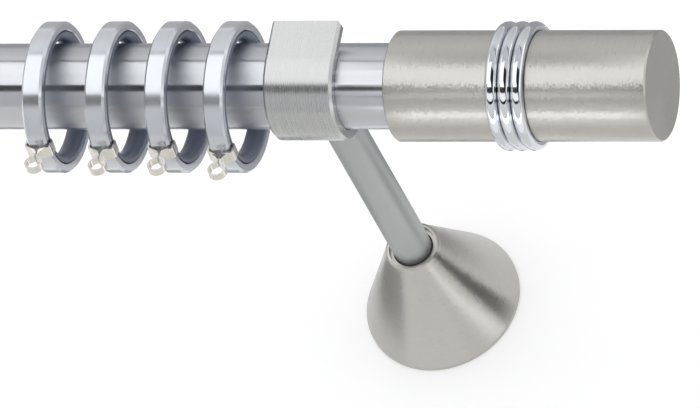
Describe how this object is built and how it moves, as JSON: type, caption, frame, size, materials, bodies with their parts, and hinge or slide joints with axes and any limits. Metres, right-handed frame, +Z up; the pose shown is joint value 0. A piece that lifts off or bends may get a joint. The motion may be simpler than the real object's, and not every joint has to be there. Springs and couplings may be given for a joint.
{
  "type": "curtain rod",
  "caption": "End of a round metal curtain rod: wall bracket with conical rose, tube pole with lined sliding rings and a barrel finial with chrome rings.",
  "frame": {"origin": "on the wall, at the centre of the wall plate and on the arm's axis", "axes": "+X along the pole towards the finial, +Y into the wall, +Z up"},
  "size_m": [0.2487, 0.1686, 0.0664],
  "materials": {
    "pole_steel": "satin tube, drawn lengthwise",
    "ring_chrome": "satin chrome",
    "liner_plastic": "blue-grey moulded plastic",
    "clip_nickel": "bright nickel strip",
    "bracket_nickel": "brushed nickel, brushed upright",
    "arm_steel": "smooth satin",
    "rose_nickel": "turned and brushed nickel",
    "finial_nickel": "turned and brushed nickel",
    "bead_chrome": "polished chrome",
    "plate_steel": "zinc-plated steel",
    "screw_steel": "zinc-plated steel"
  },
  "bodies": {
    "rod": {"pole_tube": "pole_steel", "bracket_cradle": "bracket_nickel", "bracket_arm": "arm_steel", "cradle_screw": "screw_steel", "wall_plate": "plate_steel", "wall_rose": "rose_nickel", "finial_barrel": "finial_nickel", "pole_grub_screw": "screw_steel", "finial_grub_screw": "screw_steel", "arm_grub_screw": "screw_steel", "rose_grub_screw": "screw_steel", "finial_ring_1": "bead_chrome", "finial_ring_2": "bead_chrome", "finial_ring_3": "bead_chrome"},
    "curtain_ring_1": {"ring_1": "ring_chrome", "ring_liner_1": "liner_plastic", "ring_clip_1": "clip_nickel"},
    "curtain_ring_2": {"ring_2": "ring_chrome", "ring_liner_2": "liner_plastic", "ring_clip_2": "clip_nickel"},
    "curtain_ring_3": {"ring_3": "ring_chrome", "ring_liner_3": "liner_plastic", "ring_clip_3": "clip_nickel"},
    "curtain_ring_4": {"ring_4": "ring_chrome", "ring_liner_4": "liner_plastic", "ring_clip_4": "clip_nickel"}
  },
  "joints": [
    {"name": "ring_1_slide", "type": "slide", "parent": "rod", "child": "curtain_ring_1", "axis": [1, 0, 0], "range_m": [-0.035, 0.0061]},
    {"name": "ring_2_slide", "type": "slide", "parent": "rod", "child": "curtain_ring_2", "axis": [1, 0, 0], "range_m": [-0.0061, 0.0056]},
    {"name": "ring_3_slide", "type": "slide", "parent": "rod", "child": "curtain_ring_3", "axis": [1, 0, 0], "range_m": [-0.0056, 0.0054]},
    {"name": "ring_4_slide", "type": "slide", "parent": "rod", "child": "curtain_ring_4", "axis": [1, 0, 0], "range_m": [-0.0054, 0.009]}
  ]
}
